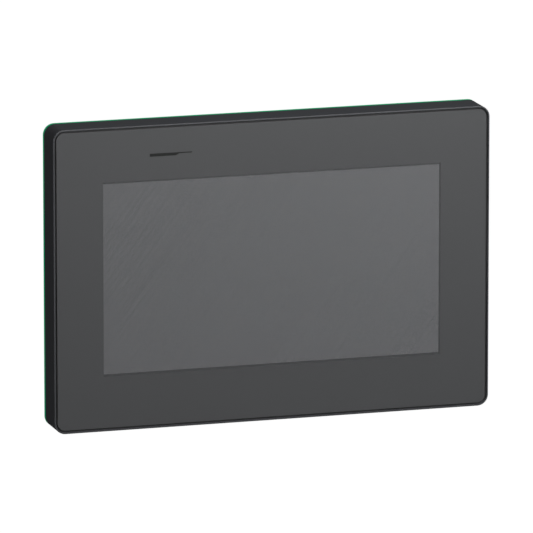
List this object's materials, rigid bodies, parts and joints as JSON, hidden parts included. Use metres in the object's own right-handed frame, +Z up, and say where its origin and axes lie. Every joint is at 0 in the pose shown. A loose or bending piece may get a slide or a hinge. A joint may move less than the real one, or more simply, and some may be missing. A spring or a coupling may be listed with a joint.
{
  "type": "hmi touch panel",
  "caption": "Flat modular operator touch screen that stands in front of a cabinet door on a central clamped stem, with a rear control module docked behind the door.",
  "frame": {"origin": "on the stem's axis in the plane of the gasket's rear face, which is the door's front surface", "axes": "+Z up, +X to the right of a person facing the screen, +Y from the screen into the cabinet; the screen looks along -Y"},
  "size_m": [0.1998, 0.0563, 0.1358],
  "materials": {
    "graphite_plastic": "fine-grained moulded plastic",
    "front_film": "satin hard-coated film, screened dark on its back",
    "window_film": "clear satin film over the screen",
    "touch_glass": "clear resistive touch glass",
    "lcd_glass": "dark unlit display glass with polarisers",
    "clear_plastic": "clear acrylic light guide",
    "flex_cable": "amber flexible printed cable",
    "steel_sheet": "pressed zinc-plated sheet",
    "black_foam": "closed-cell foam",
    "zinc_screws": "zinc-plated steel",
    "brass_parts": "turned brass, gold flash on contacts",
    "circuit_board": "green solder mask on glass-fibre laminate",
    "chip_plastic": "moulded epoxy",
    "connector_plastic": "black moulded connector plastic",
    "led_plastic": "water-clear lens",
    "smoked_lens": "smoked acrylic",
    "green_trim": "satin green moulded plastic",
    "grey_plastic": "fine-grained grey moulded plastic",
    "gasket_rubber": "black closed-skin rubber",
    "stem_alloy": "die-cast and turned alloy",
    "nut_steel": "nickel-plated steel",
    "label_foil": "blank foil plate",
    "sink_aluminium": "extruded aluminium",
    "jack_metal": "nickel-plated shield",
    "cell_steel": "nickel-plated cell",
    "plug_plastic": "green moulded plastic"
  },
  "bodies": {
    "display_unit": {"front_bezel": "graphite_plastic", "front_sheet": "front_film", "screen_window": "window_film", "touch_sensor": "touch_glass", "touch_tail": "flex_cable", "lcd_glass": "lcd_glass", "backlight_tray": "steel_sheet", "light_guide": "clear_plastic", "lcd_tail": "flex_cable", "foam_strips": "black_foam", "lcd_bracket": "steel_sheet", "bracket_screws": "zinc_screws", "board_standoffs": "brass_parts", "display_board": "circuit_board", "board_screws": "zinc_screws", "display_board_chips": "chip_plastic", "buzzer": "chip_plastic", "tail_sockets": "connector_plastic", "status_led": "led_plastic", "status_light_pipe": "smoked_lens", "trim_ring": "green_trim", "rear_cover": "grey_plastic", "cover_screws": "zinc_screws", "door_gasket": "gasket_rubber", "mounting_stem": "stem_alloy", "stem_screws": "zinc_screws", "anti_rotation_peg": "grey_plastic", "dock_socket": "connector_plastic"},
    "clamp_washer": {"lock_washer": "zinc_screws"},
    "clamp_nut": {"panel_nut": "nut_steel"},
    "control_module": {"module_front_shell": "grey_plastic", "module_rear_shell": "grey_plastic", "rating_plate": "label_foil", "module_screws": "zinc_screws", "main_board": "circuit_board", "main_board_chips": "chip_plastic", "heat_sink": "sink_aluminium", "dock_plug": "connector_plastic", "ethernet_jack_1": "jack_metal", "ethernet_jack_2": "jack_metal", "usb_host_port": "jack_metal", "usb_device_port": "jack_metal", "serial_port": "jack_metal", "serial_pins": "brass_parts", "serial_jack_screws": "nut_steel", "power_header": "connector_plastic", "power_header_pins": "brass_parts", "battery_holder": "connector_plastic", "coin_cell": "cell_steel", "hinge_pin": "nut_steel"},
    "release_latch": {"module_latch": "green_trim", "latch_blade": "steel_sheet"},
    "battery_cover": {"battery_door": "grey_plastic"},
    "supply_plug": {"power_plug": "plug_plastic", "power_plug_screws": "zinc_screws"}
  },
  "joints": [
    {"name": "washer_travel", "type": "slide", "parent": "display_unit", "child": "clamp_washer", "axis": [0, 1, 0], "range_m": [-0.005, 0.0015]},
    {"name": "nut_turn", "type": "hinge", "parent": "clamp_washer", "child": "clamp_nut", "pos_m": [0, 0.00975, 0], "axis": [0, 1, 0], "range_deg": [-1205, 365]},
    {"name": "module_pull_off", "type": "slide", "parent": "display_unit", "child": "control_module", "axis": [0, 1, 0], "range_m": [0, 0.02]},
    {"name": "latch_slide", "type": "slide", "parent": "control_module", "child": "release_latch", "axis": [1, 0, 0], "range_m": [0, 0.006], "stiffness_N_per_m": 300},
    {"name": "battery_door_hinge", "type": "hinge", "parent": "control_module", "child": "battery_cover", "pos_m": [-0.03, 0.0372, 0.034], "axis": [1, 0, 0], "range_deg": [0, 90]},
    {"name": "supply_plug_pull", "type": "slide", "parent": "control_module", "child": "supply_plug", "axis": [0, 0, -1], "range_m": [0, 0.02]}
  ],
  "couplings": [
    {"joint": "nut_turn", "follows": "washer_travel", "rad_per_m": 4188.8}
  ]
}
